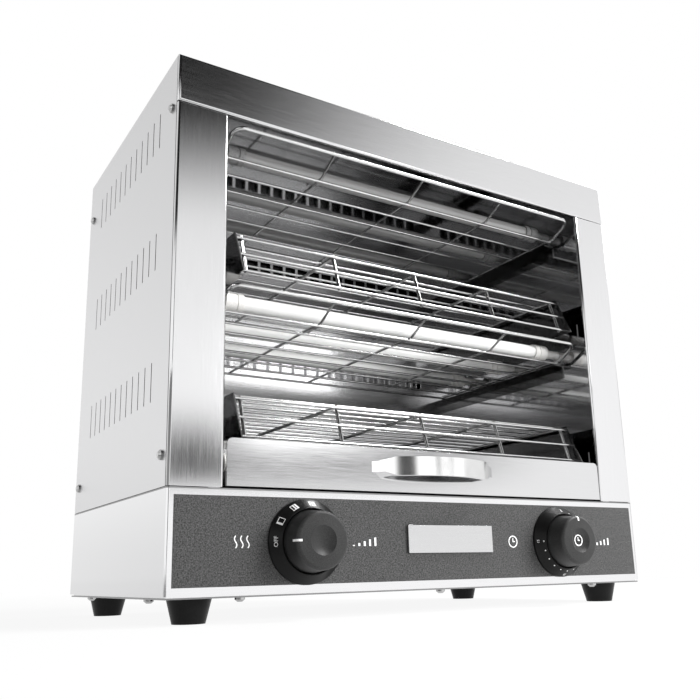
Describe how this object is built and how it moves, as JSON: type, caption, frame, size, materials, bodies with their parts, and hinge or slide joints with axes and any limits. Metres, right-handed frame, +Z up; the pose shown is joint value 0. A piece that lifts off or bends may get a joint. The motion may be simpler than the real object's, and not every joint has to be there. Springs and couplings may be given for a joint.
{
  "type": "salamander grill",
  "caption": "Countertop salamander grill with two open decks, quartz tubes under wire guards, sliding wire racks, a crumb tray with bow handle, and heat and timer knobs.",
  "frame": {"origin": "on the ground plane under the feet, in the middle of the whole outline from side to side and from the knobs' faces to the power inlet", "axes": "+X to the right as seen from the front, +Y from the front to the back, +Z up"},
  "size_m": [0.4456, 0.2748, 0.401],
  "materials": {
    "brushed steel": "brushed",
    "satin steel": "fine satin",
    "polished steel": "mirror polished steel",
    "bright wire": "bright",
    "dark steel": "dark satin",
    "chrome": "polished",
    "zinc": "zinc plated",
    "quartz": "milky",
    "white ceramic": "matt",
    "heating wire": "oxidised",
    "brass": "plain",
    "lead sleeve": "woven sleeve",
    "overlay": "fine speckle",
    "badge": "plain, unmarked",
    "black plastic": "fine matt",
    "white paint": "plain",
    "black rubber": "matt"
  },
  "bodies": {
    "cabinet": {"base_shell": "brushed steel", "left_column": "brushed steel", "right_column": "brushed steel", "top_cover": "brushed steel", "left_side_panel": "satin steel", "right_side_panel": "satin steel", "back_panel": "satin steel", "deck_plate": "satin steel", "base_bottom": "satin steel", "left_inner_wall": "polished steel", "right_inner_wall": "polished steel", "inner_back_wall": "polished steel", "ceiling_reflector": "polished steel", "upper_guard": "bright wire", "middle_guard": "bright wire", "guard_rails": "dark steel", "rack_runners": "dark steel", "foot_screws": "zinc", "bottom_screws": "zinc", "side_screws": "zinc", "tube_studs": "zinc", "stud_nuts": "zinc", "bush_nuts": "zinc", "upper_tubes": "quartz", "middle_tubes": "quartz", "lower_tubes": "quartz", "upper_tube_caps": "white ceramic", "middle_tube_caps": "white ceramic", "lower_tube_caps": "white ceramic", "terminal_block": "white ceramic", "heating_cores": "heating wire", "bus_bars": "brass", "element_leads": "lead sleeve", "control_leads": "lead sleeve", "control_overlay": "overlay", "badge_plate": "badge", "heat_dial": "black plastic", "timer_dial": "black plastic", "heat_switch": "black plastic", "timer_unit": "black plastic", "power_inlet": "black plastic", "feet": "black rubber"},
    "crumb_tray": {"crumb_tray": "satin steel", "tray_front": "brushed steel", "tray_handle": "chrome"},
    "upper_rack": {"upper_rack_grid": "bright wire", "upper_rack_fence": "bright wire", "upper_rack_ends": "dark steel"},
    "lower_rack": {"lower_rack_grid": "bright wire", "lower_rack_fence": "bright wire", "lower_rack_ends": "dark steel"},
    "heat_knob": {"heat_knob": "black plastic", "heat_pointer": "white paint", "heat_shaft": "zinc"},
    "timer_knob": {"timer_knob": "black plastic", "timer_pointer": "white paint", "timer_shaft": "zinc"}
  },
  "joints": [
    {"name": "crumb_tray_slide", "type": "slide", "parent": "cabinet", "child": "crumb_tray", "axis": [0, -1, 0], "range_m": [0, 0.2]},
    {"name": "upper_rack_slide", "type": "slide", "parent": "cabinet", "child": "upper_rack", "axis": [0, -1, 0], "range_m": [0, 0.16]},
    {"name": "lower_rack_slide", "type": "slide", "parent": "cabinet", "child": "lower_rack", "axis": [0, -1, 0], "range_m": [0, 0.16]},
    {"name": "heat_turn", "type": "hinge", "parent": "cabinet", "child": "heat_knob", "pos_m": [-0.12, -0.1216, 0.05145], "axis": [0, 1, 0], "range_deg": [0, 94.5]},
    {"name": "timer_turn", "type": "hinge", "parent": "cabinet", "child": "timer_knob", "pos_m": [0.1225, -0.1216, 0.05145], "axis": [0, 1, 0], "range_deg": [0, 270]}
  ]
}
